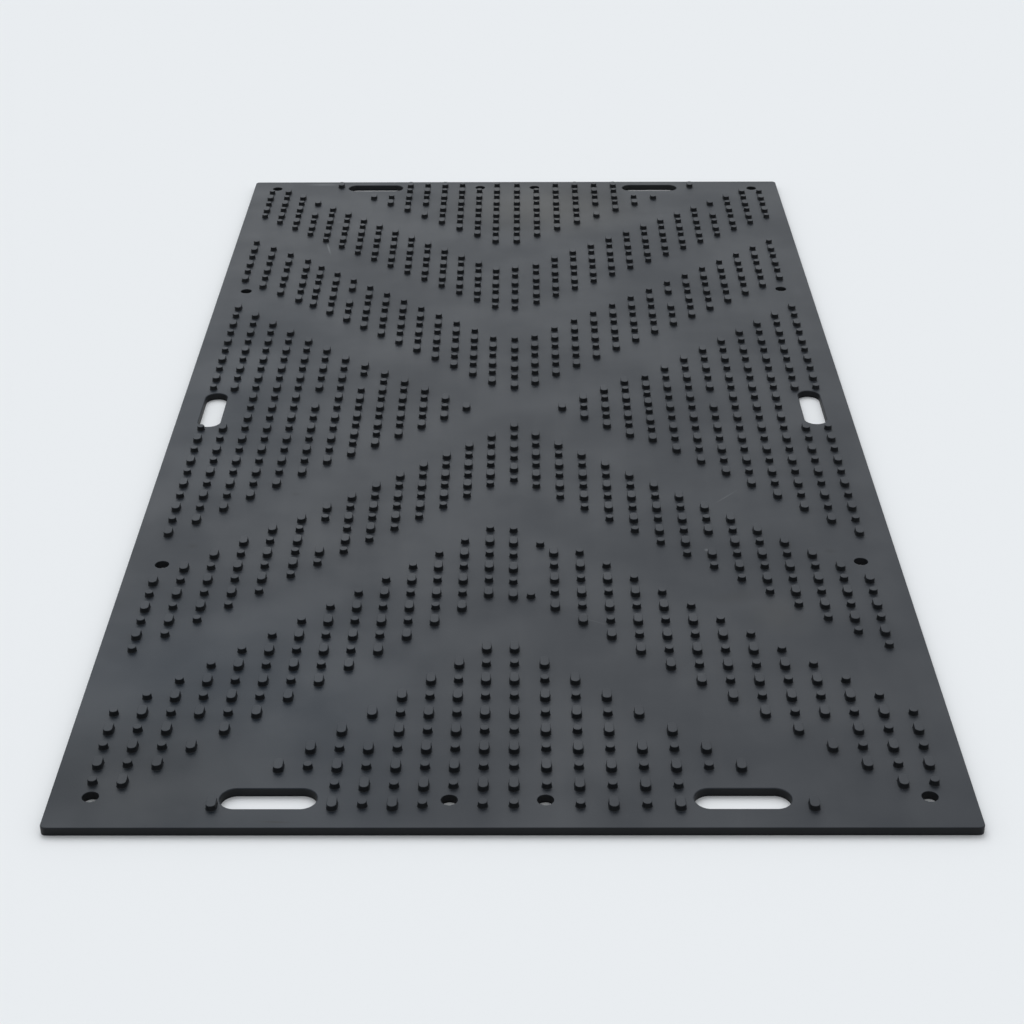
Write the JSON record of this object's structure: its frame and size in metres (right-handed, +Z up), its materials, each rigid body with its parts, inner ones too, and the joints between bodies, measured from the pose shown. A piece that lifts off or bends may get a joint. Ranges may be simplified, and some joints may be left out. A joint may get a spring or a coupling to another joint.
{
  "type": "ground protection mat",
  "caption": "Moulded plastic ground protection mat with a studded chevron tread, hand slots and fixing holes, laid flat as a temporary roadway.",
  "frame": {"origin": "middle of the underside", "axes": "+X across the mat, +Y along the mat towards the end that is far off in the picture, +Z up, out of the studded side"},
  "size_m": [1.22, 2.44, 0.0207],
  "materials": {
    "mat_plastic": "matt black-grey polyethylene, lightly scuffed, with some faint pale spots"
  },
  "bodies": {
    "root": {"ground_mat": "mat_plastic"}
  },
  "joints": []
}
